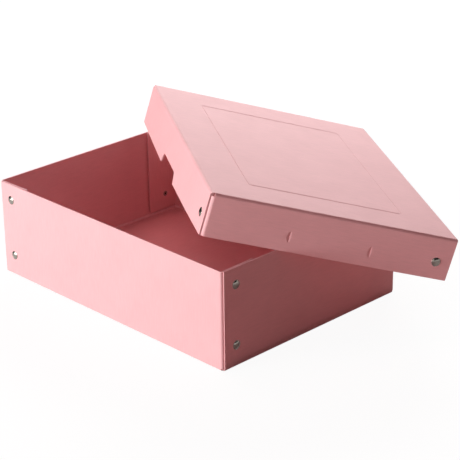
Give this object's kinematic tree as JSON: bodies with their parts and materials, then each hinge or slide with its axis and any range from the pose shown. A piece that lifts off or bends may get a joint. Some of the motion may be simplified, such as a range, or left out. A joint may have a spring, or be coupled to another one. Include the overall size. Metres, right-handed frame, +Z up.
{
  "type": "storage box with lift-off lid",
  "caption": "Shallow rectangular storage box folded from pink board with riveted corners, with a lift-off lid leaning across it, for papers and small goods.",
  "frame": {"origin": "centre of the base tray's underside, on the surface that it stands on", "axes": "+Z up, X along the base's long side, Y along its short side, with the lid leaning towards +X and +Y"},
  "size_m": [0.4208, 0.3969, 0.1612],
  "materials": {
    "board": "matt, through-dyed pink board with a fine laid grain",
    "rivet_metal": "nickel-plated, bright"
  },
  "bodies": {
    "base": {"base_floor": "board", "base_wall_front": "board", "base_wall_right": "board", "base_wall_back": "board", "base_wall_left": "board", "base_rivet_cap_front_lower": "rivet_metal", "base_rivet_post_front_lower": "rivet_metal", "base_rivet_cap_front_upper": "rivet_metal", "base_rivet_post_front_upper": "rivet_metal", "base_rivet_cap_right_lower": "rivet_metal", "base_rivet_post_right_lower": "rivet_metal", "base_rivet_cap_right_upper": "rivet_metal", "base_rivet_post_right_upper": "rivet_metal", "base_rivet_cap_back_lower": "rivet_metal", "base_rivet_post_back_lower": "rivet_metal", "base_rivet_cap_back_upper": "rivet_metal", "base_rivet_post_back_upper": "rivet_metal", "base_rivet_cap_left_lower": "rivet_metal", "base_rivet_post_left_lower": "rivet_metal", "base_rivet_cap_left_upper": "rivet_metal", "base_rivet_post_left_upper": "rivet_metal"},
    "lid": {"lid_top": "board", "lid_skirt_front": "board", "lid_skirt_right": "board", "lid_skirt_back": "board", "lid_skirt_left": "board", "lid_rivet_cap_front": "rivet_metal", "lid_rivet_post_front": "rivet_metal", "lid_rivet_cap_right": "rivet_metal", "lid_rivet_post_right": "rivet_metal", "lid_rivet_cap_back": "rivet_metal", "lid_rivet_post_back": "rivet_metal", "lid_rivet_cap_left": "rivet_metal", "lid_rivet_post_left": "rivet_metal"}
  },
  "joints": [
    {"name": "lid_lift", "type": "slide", "parent": "base", "child": "lid", "axis": [0, 0, 1], "range_m": [0, 0.15]}
  ]
}
